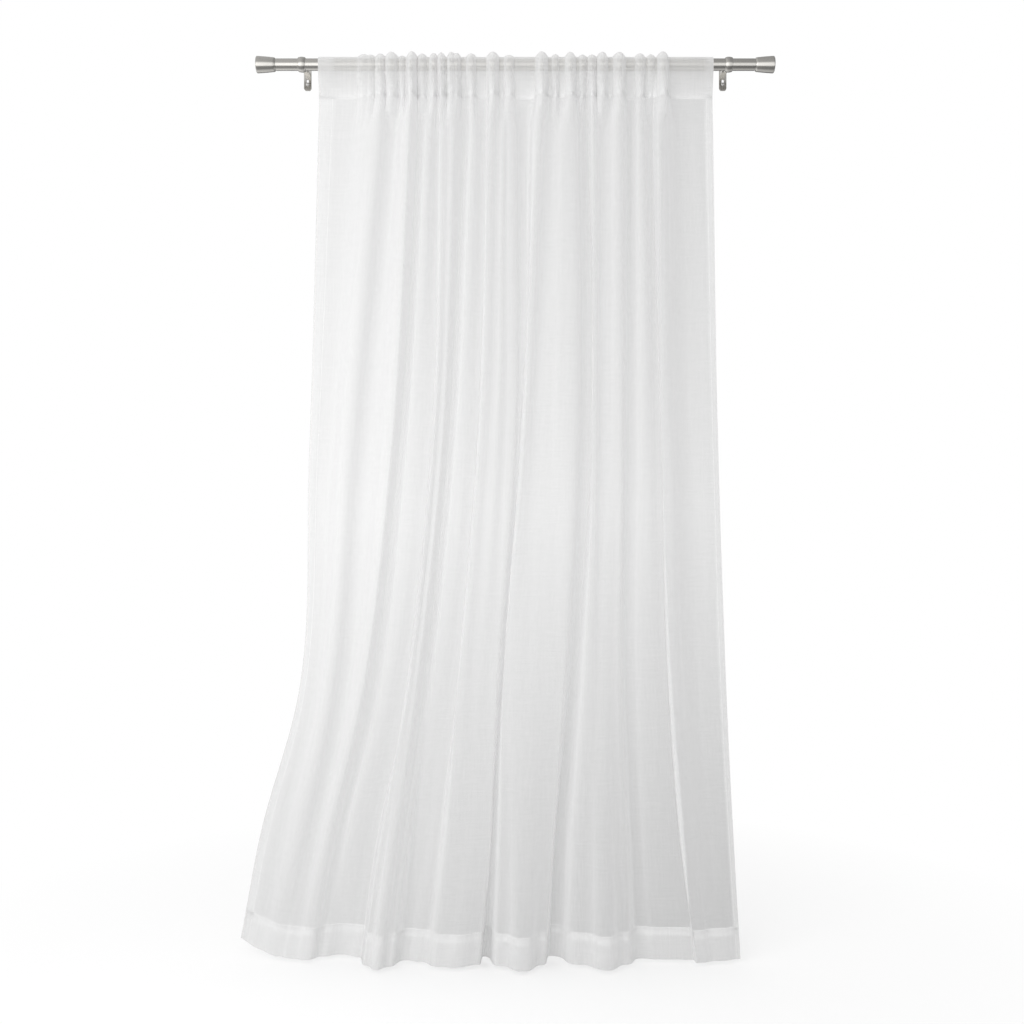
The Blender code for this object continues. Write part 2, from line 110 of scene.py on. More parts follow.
# Long folds, left to right: name; across, mm from the rod's middle at each height; forward, mm in
# front of the rod's axis there; wrap, how far its side tucks under; lift of the bottom edge, mm
FOLDS = (
    ("left edge",      (-463, -488, -515, -610, -661), (0, -4, -12, -40, -73), 0.0, 36),
    ("left flat",      (-395, -445, -486, -571, -624), (-6, -8, -10, -36, -58), 0.0, 18),
    ("first ridge",    (-315, -399, -445, -519, -572), (16, 18, 12, -10, -38), 0.3, 3),
    ("valley",         (-283, -352, -410, -484, -536), (-6, -6, -10, -26, -28), 0.2, 0),
    ("second ridge",   (-244, -293, -364, -446, -496), (24, 22, 20, 0, -17), 0.3, 0),
    ("valley",         (-222, -274, -343, -421, -458), (-10, -12, -14, -34, -44), 0.2, 0),
    ("small ridge",    (-204, -256, -318, -395, -422), (4, -2, -4, -22, -62), 0.2, 0),
    ("valley",         (-180, -190, -256, -336, -372), (-12, -14, -18, -36, -40), 0.4, 0),
    ("fold 1 left",    (-173, -199, -259, -315, -354), (22, 26, 34, 34, 24), 0.3, 0),
    ("fold 1 crest",   (-146, -176, -238, -289, -322), (16, 18, 28, 46, 62), 0.2, 0),
    ("fold 1 right",   (-116, -158, -216, -261, -292), (-12, -10, -6, 20, 34), 0.2, 0),
    ("small ridge",    (-98, -140, -198, -240, -266), (6, 2, 0, -10, -14), 0.2, 0),
    ("valley",         (-66, -84, -140, -190, -225), (-8, -12, -10, 0, -2), 0.3, 0),
    ("fold 2 left",    (-60, -92, -138, -158, -180), (22, 24, 28, 36, 38), 0.3, 0),
    ("fold 2 crest",   (-31, -50, -93, -111, -142), (12, 14, 20, 32, 47), 0.2, 0),
    ("fold 2 right",   (-15, -22, -46, -58, -84), (8, 4, 14, 22, 20), 0.6, 0),
    ("valley",         (24, 22, -34, -62, -76), (-10, -14, -22, -34, -46), 0.6, 0),
    ("fold 3 left",    (57, 8, -30, -32, -38), (26, 26, 32, 36, 30), 0.3, 0),
    ("fold 3 crest",   (84, 52, 20, 16, 18), (8, 14, 34, 52, 75), 0.2, 0),
    ("fold 3 right",   (128, 122, 108, 86, 66), (18, 18, 26, 24, 22), 0.6, 0),
    ("valley",         (170, 182, 128, 94, 84), (-10, -14, -22, -36, -52), 0.6, 0),
    ("fold 4 left",    (180, 176, 166, 158, 151), (20, 24, 26, 26, 24), 0.3, 0),
    ("fold 4 crest",   (214, 210, 203, 206, 216), (8, 12, 22, 42, 66), 0.2, 0),
    ("fold 4 right",   (243, 243, 240, 252, 259), (20, 14, 14, 18, 20), 0.4, 0),
    ("valley",         (272, 272, 268, 284, 299), (-10, -12, -12, -22, -28), 0.3, 0),
    ("small ridge",    (293, 308, 306, 319, 339), (6, 0, -4, -14, -22), 0.2, 0),
    ("valley",         (322, 350, 376, 404, 420), (-10, -12, -14, -18, -18), 0.4, 0),
    ("fold 5 crest",   (332, 340, 358, 388, 428), (24, 24, 22, 14, 6), 0.2, 0),
    ("valley",         (389, 418, 437, 466, 489), (-8, -10, -12, -14, -10), 0.2, 0),
    ("right edge",     (465, 481, 501, 519, 535), (0, -6, -10, -18, -26), 0.0, 0),
)

# Soft ripples running down the cloth between the folds: width, crest to crest across the flat
# cloth; depth; start, where across the first crest lies; sway, how far the crests wander as they
# run down; sway_length, the drop over which they wander; swell, the drop over which they fade
# and come back; all in mm
RIPPLES = (
    (71, 0.9, 13, 16, 1400, 900),
    (47, 0.5, 31, 11, 900, 640),
    (33, 0.3, 5, 8, 1150, 520),
    (113, 1.6, 60, 22, 1900, 1500),
)
# A ripple's depth swings this far about this share of the whole, and so it does across the cloth
FADING_MIDDLE, FADING_REACH, FADING_WIDTH = 0.55, 0.45, 0.61

# Heights between which the sheet's rows are spaced alike: from, to, row spacing, in metres below
# the rod's axis. The last run starts at the top of the bottom hem.
HEM_LINE = HEM_DROP - BOTTOM_HEM
ROW_RUNS = (
    (POCKET_DROP, 0.140, 0.005), (0.140, 0.380, 0.010), (0.380, HEM_LINE - 0.04, 0.0145),
    (HEM_LINE - 0.04, HEM_LINE, 0.008), (HEM_LINE, HEM_DROP, 0.0076),
)
# Drop at which the folds are paced out to find how far across the flat cloth each column lies
PACED_DROP = 1.2


# --- Cloth shape ---------------------------------------------------------------------------------


def between_levels(values, drop):
    """A fold's size at any drop, eased from the five set heights."""
    levels = np.array(FOLD_DROPS) * MM
    values = np.asarray(values, float) * MM
    slopes = np.gradient(values, levels)
    drop = min(max(drop, levels[0]), levels[-1])
    k = min(int(np.searchsorted(levels, drop, side="right")) - 1, len(levels) - 2)
    span = levels[k + 1] - levels[k]
    t = (drop - levels[k]) / span
    return (
        (2 * t**3 - 3 * t**2 + 1) * values[k]
        + (t**3 - 2 * t**2 + t) * span * slopes[k]
        + (3 * t**2 - 2 * t**3) * values[k + 1]
        + (t**3 - t**2) * span * slopes[k + 1]
    )


def gather_profile(across):
    """Forward reach and rise off the rod of the gathers at places along the rod."""
    forward = np.zeros_like(across)
    rise = np.zeros_like(across)
    for centre, half_width, reach, lift in GATHERS:
        near = np.clip(np.abs(across - centre * MM) / (half_width * MM), 0, 1)
        swell = np.cos(math.pi / 2 * near) ** LOOP_ROUNDNESS
        forward = np.maximum(forward, reach * MM * swell)
        rise = np.maximum(rise, lift * MM * swell)
    return forward, rise


SHALLOWEST, DEEPEST, HALVINGS = 0.2, 4.0, 24


def scale_to_cut_width(across, forward):
    """How much deeper the folds must be for the row to use the whole width of cloth."""
    low, high = SHALLOWEST, DEEPEST
    for _ in range(HALVINGS):
        middle = (low + high) / 2
        if np.hypot(np.diff(across), np.diff(forward * middle)).sum() < CUT_WIDTH:
            low = middle
        else:
            high = middle
    return low


def column_layout():
    """(fold, share) arrays for every column: each fold gets columns by the cloth it holds."""
    lengths = []
    for fold, after in zip(FOLDS, FOLDS[1:]):
        runs = [
            math.hypot(after[1][i] - fold[1][i], after[2][i] - fold[2][i]) * MM
            for i in range(len(FOLD_DROPS))
        ]
        lengths.append(sum(runs) / len(runs))
    stretch = CUT_WIDTH / sum(lengths)
    columns = []
    for k, length in enumerate(lengths):
        count = max(LEAST_COLUMNS, round(length * stretch / COLUMN_SPACING))
        columns += [(k, i / count) for i in range(count)]
    columns.append((len(FOLDS) - 2, 1.0))
    return np.array([k for k, _ in columns]), np.array([share for _, share in columns])


PACES = 200


def gather_row(fold_of, share):
    """Seam row: (across, forward, rise) per column, every gather walked along its own length."""
    across = np.zeros(len(share))
    for k in range(len(FOLDS) - 1):
        start = between_levels(FOLDS[k][1], 0)
        end = between_levels(FOLDS[k + 1][1], 0)
        fine = np.linspace(start, end, PACES)
        depth, _ = gather_profile(fine)
        run = np.concatenate([[0], np.cumsum(np.hypot(np.diff(fine), np.diff(depth)))])
        mine = fold_of == k
        across[mine] = np.interp(share[mine] * run[-1], run, fine)
    forward, rise = gather_profile(across)
    return across, forward * scale_to_cut_width(across, forward), rise


def fold_row(fold_of, share, drop):
    """(across, forward) per column of the long folds at a drop."""
    x = np.array([between_levels(fold[1], drop) for fold in FOLDS])
    y = np.array([between_levels(fold[2], drop) for fold in FOLDS])
    wraps = np.array([fold[3] for fold in FOLDS])[fold_of]
    wrap = wraps * np.sin(2 * math.pi * share) / (2 * math.pi)
    across = x[fold_of] + (x[fold_of + 1] - x[fold_of]) * (share + wrap)
    forward = y[fold_of] + (y[fold_of + 1] - y[fold_of]) * (1 - np.cos(math.pi * share)) / 2
    return across, forward


def ripple(cloth_across, drop):
    """Forward offset of the soft ripples at a drop, per column."""
    total = np.zeros_like(cloth_across)
    for width, depth, start, sway, sway_length, swell in RIPPLES:
        wander = sway * MM * math.sin(2 * math.pi * drop / (sway_length * MM) + start)
        fading = FADING_MIDDLE + FADING_REACH * np.sin(
            2 * math.pi * (drop / (swell * MM) + cloth_across / FADING_WIDTH) + width
        )
        total += depth * MM * fading * np.sin(
            2 * math.pi * (cloth_across - start * MM - wander) / (width * MM)
        )
    return total


def cloth_row(fold_of, share, drop, gathers, cloth_across):
    """Points of the hanging cloth at a drop below the rod's axis."""
    across, forward = fold_row(fold_of, share, drop)
    fade = min(max((drop - GATHER_START) / GATHER_REACH, 0.0), 1.0)
    fade = fade * fade * (3 - 2 * fade)
    across = gathers[0] * (1 - fade) + across * fade
    forward = gathers[1] * (1 - fade) + forward * fade
    forward = forward * scale_to_cut_width(across, forward) + ripple(cloth_across, drop) * fade
    lifts = np.array([fold[4] for fold in FOLDS]) * MM
    lift = lifts[fold_of] * (1 - share) + lifts[fold_of + 1] * share
    lowered = ((drop - POCKET_DROP) / (HEM_DROP - POCKET_DROP)) ** 3
    return np.stack([across, -forward, -drop + lift * lowered], axis=1)


def pocket_rows(gathers, seam, climbs, angles):
    """Rows of the rod pocket: its turned edge, up the back, over the rod and down the front."""
    across, forward, rise = gathers
    inner = ROD_RADIUS + ROD_CLEARANCE
    front = inner + POCKET_FRONT * forward
    back = inner + POCKET_BACK * rise
    rows = []
    for up in np.linspace(TURNED_EDGE, 0.0, TURNED_ROWS):
        height = np.full_like(across, up - POCKET_DROP)
        rows.append(np.stack([seam[:, 0], seam[:, 1] + LAYER_GAP / 2, height], axis=1))

    def wall(climb, depth_on_rod, gap):
        eased = climb * climb * (3 - 2 * climb)
        depth = seam[:, 1] * (1 - eased) + depth_on_rod * eased
        clear = np.maximum if gap > 0 else np.minimum
        depth = clear(depth, seam[:, 1] + gap)
        sideways = seam[:, 0] * (1 - climb) + across * climb
        height = np.full_like(across, -POCKET_DROP * (1 - climb))
        return np.stack([sideways, depth, height], axis=1)

    rows += [wall(climb, back, LAYER_GAP + POCKET_EASE * climb) for climb in climbs]
    for degrees in angles:
        turn = math.radians(degrees)
        over = max(0.0, -math.cos(turn)) ** 2
        side = front if degrees <= 180 else back
        radius = side * (1 - over) + (inner + rise) * over
        rows.append(np.stack([across, -radius * math.sin(turn), -radius * math.cos(turn)], axis=1))
    rows += [wall(climb, -front, -POCKET_EASE * climb) for climb in reversed(climbs[1:])]
    return rows


def spaced(start, end, step):
    return list(np.linspace(start, end, max(2, round((end - start) / step) + 1)))


def grid_normals(grid):
    """Unit normals of a grid of points, rows by columns, on the cloth's right side."""
    down = np.gradient(grid, axis=0)
    along = np.gradient(grid, axis=1)
    normals = np.cross(down, along)
    return normals / np.maximum(np.linalg.norm(normals, axis=2, keepdims=True), 1e-9)


def single_layer_cloth():
    """The sheet without its hems: points, places across and down the flat cloth, seam, hem row."""
    fold_of, share = column_layout()
    gathers = gather_row(fold_of, share)
    middle_row = np.stack(fold_row(fold_of, share, PACED_DROP), axis=1)
    steps = np.linalg.norm(np.diff(middle_row, axis=0), axis=1)
    cloth_across = np.concatenate([[0], np.cumsum(steps)])
    cloth_across *= CUT_WIDTH / cloth_across[-1]
    drops = [drop for run in ROW_RUNS for drop in spaced(*run)[:-1]] + [HEM_DROP]
    hanging = [cloth_row(fold_of, share, drop, gathers, cloth_across) for drop in drops]
    climbs = spaced(0.0, POCKET_CLIMB, POCKET_SPACING)
    angles = spaced(90, 270, POCKET_TURN)[::-1]
    pocket = pocket_rows(gathers, hanging[0], climbs, angles)
    grid = np.array(pocket + hanging)
    seam_row = len(pocket)
    hem_row = seam_row + int(np.argmin(np.abs(np.array(drops) - HEM_LINE)))
    down = np.linalg.norm(np.diff(grid, axis=0), axis=2)
    cloth_down = np.concatenate([[0], np.cumsum(np.median(down, axis=1))])
    return grid, cloth_across, cloth_down, seam_row, hem_row


def grid_mesh(name, grid, cloth_across, cloth_down, fold_rows, fold_columns):
    """A mesh of quads over a grid, with a UV map in metres of flat cloth and crisp folds."""
    rows, count = grid.shape[:2]
    mesh = bpy.data.meshes.new(name)
    number = np.arange(rows * count).reshape(rows, count)
    quads = np.stack(
        [number[:-1, :-1], number[1:, :-1], number[1:, 1:], number[:-1, 1:]], axis=-1
    ).reshape(-1, 4)
    mesh.from_pydata(grid.reshape(-1, 3).tolist(), [], quads.tolist())
    flat = np.stack(np.meshgrid(cloth_across, cloth_down), axis=-1).reshape(-1, 2)
    layer = mesh.uv_layers.new(name="flat_cloth")
    layer.data.foreach_set("uv", flat[quads.reshape(-1)].astype(np.float32).ravel())
    mesh.polygons.foreach_set("use_smooth", [True] * len(mesh.polygons))
    ends = np.empty(len(mesh.edges) * 2, dtype=np.int32)
    mesh.edges.foreach_get("vertices", ends)
    row, column = np.divmod(ends.reshape(-1, 2), count)
    along_row = (row[:, 0] == row[:, 1]) & np.isin(row[:, 0], fold_rows)
    along_column = (column[:, 0] == column[:, 1]) & np.isin(column[:, 0], fold_columns)
    mesh.edges.foreach_set("use_edge_sharp", along_row | along_column)
    obj = bpy.data.objects.new(name, mesh)
    bpy.context.scene.collection.objects.link(obj)
    return obj


def build_voile():
    """The whole sheet, with its side hems and bottom hem turned to the back."""
    grid, cloth_across, cloth_down, seam_row, hem_row = single_layer_cloth()
    grid = grid + np.array(ROD_MIDDLE)
    normals = grid_normals(grid)
    rows, count = grid.shape[:2]
    turn = int(np.argmin(np.abs(cloth_across - SIDE_HEM)))
    turn_right = int(np.argmin(np.abs(CUT_WIDTH - SIDE_HEM - cloth_across)))
    left = list(range(turn, -1, -1))
    right = list(range(count - 1, turn_right - 1, -1))
    column_of = np.array(left + list(range(count)) + right)
    column_back = np.array([1.0] * len(left) + [0.0] * count + [1.0] * len(right))
    column_uv = np.concatenate([
        -cloth_across[left], cloth_across, 2 * CUT_WIDTH - cloth_across[right]
    ])
    up = list(range(rows - 1, hem_row - 1, -1))
    again = [hem_row, hem_row + 1]
    row_of = np.array(list(range(rows)) + up + again)
    row_back = np.array(
        [0.0] * rows + [HEM_LAYERS_BACK] * len(up) + [TURNED_LAYERS_BACK] * len(again)
    )
    hem_top = 2 * cloth_down[-1] - cloth_down[hem_row]
    row_uv = np.concatenate([
        cloth_down,
        2 * cloth_down[-1] - cloth_down[up],
        hem_top + cloth_down[again] - cloth_down[hem_row],
    ])
    back = LAYER_GAP * (column_back[None, :] + row_back[:, None])
    whole = grid[row_of][:, column_of] - normals[row_of][:, column_of] * back[:, :, None]
    fold_rows = (TURNED_ROWS - 1, TURNED_ROWS, rows - 1, rows, rows + len(up) - 1, rows + len(up))
    left_fold, right_fold = len(left), len(left) + count
    fold_columns = (left_fold - 1, left_fold, right_fold - 1, right_fold)
    curtain = grid_mesh("voile_sheet", whole, column_uv, row_uv, fold_rows, fold_columns)
    return curtain, grid, normals, seam_row, hem_row, turn, turn_right


# --- Stitching -----------------------------------------------------------------------------------

STITCH_PITCH = 0.0032
STITCH_LENGTH = 0.0024
STITCH_WIDTH = 0.00055
STITCH_PROUD = 0.0003


def stitch_run(path, facing, points, faces):
    """Adds one small faceted stitch every STITCH_PITCH along a path on the cloth."""
    steps = np.linalg.norm(np.diff(path, axis=0), axis=1)
    run = np.concatenate([[0], np.cumsum(steps)])
    places = np.arange(STITCH_PITCH / 2, run[-1], STITCH_PITCH)

    def at(values, where):
        return np.stack([np.interp(where, run, values[:, i]) for i in range(3)], axis=1)

    heads = at(path, places - STITCH_LENGTH / 2)
    tails = at(path, places + STITCH_LENGTH / 2)
    outward = at(facing, places)
    along = tails - heads
    sideways = np.cross(outward, along)
    sideways /= np.maximum(np.linalg.norm(sideways, axis=1, keepdims=True), 1e-9)
    middle = (heads + tails) / 2 + outward * STITCH_PROUD
    for i in range(len(places)):
        start = len(points)
        half = STITCH_WIDTH / 2
        points += [
            heads[i], tails[i],
            middle[i] + sideways[i] * half, middle[i] - sideways[i] * half,
            middle[i] + outward[i] * half, middle[i] - outward[i] * half,
        ]
        for a, b in ((2, 4), (4, 3), (3, 5), (5, 2)):
            faces += [(start, start + a, start + b), (start + 1, start + b, start + a)]


def build_stitching(grid, normals, seam_row, hem_row, turn, turn_right):
    """Stitches along the pocket's seam, the top of the bottom hem and both side hems."""
    points, faces = [], []
    for row in (seam_row, hem_row):
        stitch_run(grid[row], normals[row], points, faces)
    for column in (turn - 1, turn_right + 1):
        stitch_run(grid[seam_row:, column], normals[seam_row:, column], points, faces)
    mesh = bpy.data.meshes.new("hem_stitching")
    mesh.from_pydata([tuple(map(float, point)) for point in points], [], faces)
    obj = bpy.data.objects.new("hem_stitching", mesh)
    bpy.context.scene.collection.objects.link(obj)
    return obj


# --- Rod, finials, brackets and screws ------------------------------------------------------------

ROUND_SIDES = 72
TUBE_WALL = 0.001
FIT_GAP = 0.0003
# How far the edges of each piece are softened
ROD_EDGE, FINIAL_EDGE, PLATE_EDGE, FITTING_EDGE = 0.0002, 0.00025, 0.0007, 0.00012
SHARP_ANGLE = math.radians(40)
SMOOTH_ANGLE = math.radians(35)
# Above this, the cosine of a normal or an edge with a direction counts as along it
ALONG = 0.99

# Finial, from the rod's end outwards: (along, radius) in mm. It starts with a shadow groove,
# flares, and ends in a rounded rim round a slightly sunk cap.
FINIAL_STEPS = (
    (0.4, 13.0), (1.5, 13.0), (1.5, 14.7), (2.6, 15.7), (4.2, 16.3), (6.0, 16.6), (15.0, 17.5),
    (24.0, 18.3), (34.0, 19.0), (42.6, 19.6), (44.2, 19.5), (45.4, 18.7), (46.0, 17.4),
    (46.0, 15.2), (45.3, 14.6), (45.3, 5.0),
)
# Ring round the rod, from its outer end to its inner end: (along, radius) in mm
RING_STEPS = (
    (-8.7, 15.6), (-8.1, 16.2), (-6.4, 16.9), (-3.6, 17.5), (0.0, 17.8), (3.6, 17.5), (6.4, 16.9),
    (8.1, 16.2), (8.7, 15.6),
)
# Screw, from the wall outwards: (along, radius) in mm
SCREW_STEPS = (
    (0.3, 1.7), (0.9, 2.1), (3.3, 2.1), (3.3, 4.2), (3.7, 4.2), (4.3, 3.9), (4.9, 3.3),
    (5.3, 2.4), (5.5, 1.2),
)
PLATE_THICKNESS = 0.003
PLATE_CORNER = 0.006
SLOT_WIDTH = 0.0052
SLOT_LENGTH = 0.015
SLOT_DROP = 0.0145
ARM_WIDTH = 0.0138
ARM_HEIGHT = 0.0066
ARM_RISE = 0.0056
ARM_CORNER = 0.0012
BORE_REACH = 30
SCREW_DROP = 0.0185
RECESS_LENGTH = 0.0044
RECESS_WIDTH = 0.0009
RECESS_DEPTH = 0.0011


def just_added(name):
    """The primitive just added, named, with its place and turn moved into its mesh."""
    obj = bpy.context.object
    obj.name = name
    bpy.ops.object.transform_apply(location=True, rotation=True, scale=True)
    return obj


def pick_faces(obj, wanted):
    """In edit mode, selects only the faces whose normal and middle are wanted."""
    bpy.ops.mesh.select_mode(type="FACE")
    bpy.ops.mesh.select_all(action="DESELECT")
    sheet = bmesh.from_edit_mesh(obj.data)
    for face in sheet.faces:
        if wanted(face.normal, face.calc_center_median()):
            face.select_set(True)
    bmesh.update_edit_mesh(obj.data)


def pick_edges(obj, wanted):
    """In edit mode, selects only the edges whose direction and middle are wanted."""
    bpy.ops.mesh.select_mode(type="EDGE")
    bpy.ops.mesh.select_all(action="DESELECT")
    sheet = bmesh.from_edit_mesh(obj.data)
    for edge in sheet.edges:
        first, second = (vertex.co for vertex in edge.verts)
        if wanted((second - first).normalized(), (first + second) / 2):
            edge.select_set(True)
    bmesh.update_edit_mesh(obj.data)


def apply_modifier(obj, kind, **settings):
    bpy.ops.object.select_all(action="DESELECT")
    obj.select_set(True)
    bpy.context.view_layer.objects.active = obj
    modifier = obj.modifiers.new(kind.title(), kind)
    for key, value in settings.items():
        setattr(modifier, key, value)
    bpy.ops.object.modifier_apply(modifier=modifier.name)


def cut_or_join(obj, other, operation):
    apply_modifier(obj, "BOOLEAN", object=other, operation=operation, solver="EXACT")
    bpy.data.objects.remove(other)


def turned(name, steps, base, outward):
    """A round piece drawn out step by step from a short cylinder, along outward from base."""
    bpy.ops.object.select_all(action="DESELECT")
    sizes = [(along * MM, radius * MM) for along, radius in steps]
    start, radius = sizes[0]
    along = sizes[1][0]
    bpy.ops.mesh.primitive_cylinder_add(
        vertices=ROUND_SIDES, radius=radius, depth=along - start,
        location=base + outward * (start + along) / 2,
        rotation=outward.to_track_quat("Z", "Y").to_euler(),
    )
    obj = just_added(name)
    bpy.ops.object.mode_set(mode="EDIT")
    pick_faces(obj, lambda normal, middle: normal.dot(outward) > ALONG)

    def widen(to_radius, at):
        grown = to_radius / radius
        bpy.ops.transform.resize(value=(grown, grown, grown), center_override=base + outward * at)

    widen(sizes[1][1], along)
    radius = sizes[1][1]
    for next_along, next_radius in sizes[2:]:
        bpy.ops.mesh.extrude_region_move(
            TRANSFORM_OT_translate={"value": outward * (next_along - along)}
        )
        widen(next_radius, next_along)
        along, radius = next_along, next_radius
    bpy.ops.mesh.select_all(action="SELECT")
    bpy.ops.mesh.normals_make_consistent(inside=False)
    bpy.ops.object.mode_set(mode="OBJECT")
    return obj


def block(name, size, middle, rounded_along, corner, segments):
    """A block whose edges along one direction are rounded to a corner radius."""
    bpy.ops.object.select_all(action="DESELECT")
    bpy.ops.mesh.primitive_cube_add(size=1, location=middle, scale=size)
    obj = just_added(name)
    bpy.ops.object.mode_set(mode="EDIT")
    pick_edges(obj, lambda direction, place: abs(direction.dot(rounded_along)) > ALONG)
    bpy.ops.mesh.bevel(offset=corner, segments=segments, affect="EDGES")
    bpy.ops.object.mode_set(mode="OBJECT")
    return obj


def soften_edges(obj, width, segments):
    apply_modifier(
        obj, "BEVEL", width=width, segments=segments, limit_method="ANGLE", angle_limit=SHARP_ANGLE
    )


def finish_metal(obj, node, material, rounding):
    """Softens the edges and puts the piece in its node's place."""
    soften_edges(obj, rounding, 2)
    bpy.ops.object.shade_smooth_by_angle(angle=SMOOTH_ANGLE)
    apply_modifier(obj, "WEIGHTED_NORMAL", keep_sharp=True)
    wear(obj, material)
    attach(obj, "root")
    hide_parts(node)


def build_rod(material):
    bpy.ops.object.select_all(action="DESELECT")
    bpy.ops.mesh.primitive_cylinder_add(
        vertices=ROUND_SIDES, radius=ROD_RADIUS, depth=ROD_LENGTH, end_fill_type="NOTHING",
        location=ROD_MIDDLE, rotation=(0.0, math.pi / 2, 0.0),
    )
    rod = just_added("rod_brushed_tube")
    apply_modifier(rod, "SOLIDIFY", thickness=TUBE_WALL, offset=-1.0)
    finish_metal(rod, "rod_tube", material, ROD_EDGE)


def build_finials(material):
    for side, end in ((-1, rod_low.x), (1, rod_high.x)):
        which = "left" if side < 0 else "right"
        base = Vector((end, ROD_MIDDLE.y, ROD_MIDDLE.z))
        finial = turned(f"finial_cap_{which}", FINIAL_STEPS, base, Vector((side, 0.0, 0.0)))
        finish_metal(finial, f"finial_{which}", material, FINIAL_EDGE)


def bracket_at_origin():
    """Plate with its slot, arm and ring, for a bracket whose plate is centred on the origin."""
    low, high = (Vector(corner) - LEFT_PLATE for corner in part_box("bracket_left"))
    right, out, up = Vector((1.0, 0.0, 0.0)), Vector((0.0, -1.0, 0.0)), Vector((0.0, 0.0, 1.0))
    rod = ROD_MIDDLE - LEFT_PLATE
    rod.x = 0.0
    plate_height = -2 * low.z
    bracket = block(
        "bracket_plate", (high.x - low.x - FIT_GAP, PLATE_THICKNESS, plate_height),
        out * PLATE_THICKNESS / 2, out, PLATE_CORNER, 8,
    )
    slot = block(
        "slot", (SLOT_WIDTH, PLATE_THICKNESS * 4, SLOT_LENGTH), -up * SLOT_DROP, out,
        SLOT_WIDTH / 2 - 0.0001, 8,
    )
    cut_or_join(bracket, slot, "DIFFERENCE")
    soften_edges(bracket, PLATE_EDGE, 3)
    start, end = PLATE_THICKNESS / 2, -rod.y - ROD_RADIUS
    arm = block(
        "bracket_arm", (ARM_WIDTH, end - start, ARM_HEIGHT),
        out * (start + end) / 2 + up * ARM_RISE, out, ARM_CORNER, 4,
    )
    cut_or_join(bracket, arm, "UNION")
    ring = turned("bracket_ring", RING_STEPS, rod, right)
    cut_or_join(bracket, ring, "UNION")
    bore_radius = (ROD_RADIUS + FIT_GAP) / MM
    bore_steps = ((-BORE_REACH, bore_radius), (BORE_REACH, bore_radius))
    bore = turned("bore", bore_steps, rod, right)
    cut_or_join(bracket, bore, "DIFFERENCE")
    return bracket


def screw_at_origin():
    """Round-headed wall screw with a cross recess, for a plate centred on the origin."""
    out, down = Vector((0.0, -1.0, 0.0)), Vector((0.0, 0.0, -SCREW_DROP))
    screw = turned("screw", SCREW_STEPS, down, out)
    head_top = down + out * (SCREW_STEPS[-1][0] * MM)
    deep = 2 * RECESS_DEPTH
    for size in ((RECESS_LENGTH, deep, RECESS_WIDTH), (RECESS_WIDTH, deep, RECESS_LENGTH)):
        cutter = block("recess", size, head_top, out, RECESS_WIDTH / 3, 2)
        cut_or_join(screw, cutter, "DIFFERENCE")
    return screw


def put_by_each_plate(first, name, node, material):
    """Copies a piece made about the origin to both wall plates, each copy with its own mesh."""
    for which, plate in (("left", LEFT_PLATE), ("right", RIGHT_PLATE)):
        copy = first.copy()
        copy.data = first.data.copy()
        copy.name = f"{name}_{which}"
        bpy.context.scene.collection.objects.link(copy)
        bpy.ops.object.select_all(action="DESELECT")
        copy.select_set(True)
        bpy.context.view_layer.objects.active = copy
        bpy.ops.transform.translate(value=plate)
        bpy.ops.object.transform_apply(location=True, rotation=True, scale=True)
        finish_metal(copy, f"{node}_{which}", material, FITTING_EDGE)
    bpy.data.objects.remove(first)


# --- Materials -----------------------------------------------------------------------------------


class Nodes:
    """Short way to place and join shader nodes."""

    def __init__(self, tree):
        self.tree = tree
        self.place = 0

    def add(self, kind, **inputs):
        node = self.tree.nodes.new(kind)
        node.location = (self.place * 190 - 1200, -(self.place % 4) * 160)
        self.place += 1
        settings = inputs.pop("settings", {})
        for key, value in settings.items():
            setattr(node, key, value)
        for key, value in inputs.items():
            socket = node.inputs[int(key[1:]) if key[0] == "i" and key[1:].isdigit() else key]
            if isinstance(value, bpy.types.NodeSocket):
                self.tree.links.new(value, socket)
            else:
                socket.default_value = value
        return node

    def math(self, operation, first, second=0.0, third=None):
        node = self.add("ShaderNodeMath", settings={"operation": operation}, i0=first, i1=second)
        if isinstance(third, bpy.types.NodeSocket):
            self.tree.links.new(third, node.inputs[2])
        elif third is not None:
            node.inputs[2].default_value = third
        return node.outputs[0]

    def mix_shaders(self, share, first, second):
        return self.add("ShaderNodeMixShader", i0=share, i1=first, i2=second).outputs[0]

    def between(self, share, first, second):
        """Colour between two plain ones, by a share that changes over the surface."""
        mix = self.add(
            "ShaderNodeMix", settings={"data_type": "RGBA"},
            i0=share, i6=(*first, 1.0), i7=(*second, 1.0),
        )
        return mix.outputs[2]

    def show(self, shader):
        output = next(node for node in self.tree.nodes if node.type == "OUTPUT_MATERIAL")
        self.tree.links.new(shader, output.inputs["Surface"])


# Places in the noise that give the two sets of slubs, and the threads' height beside theirs
SLUBS_DOWN_PLACE, SLUBS_ACROSS_PLACE = 3.7, 11.3
THREAD_HEIGHT = 0.4


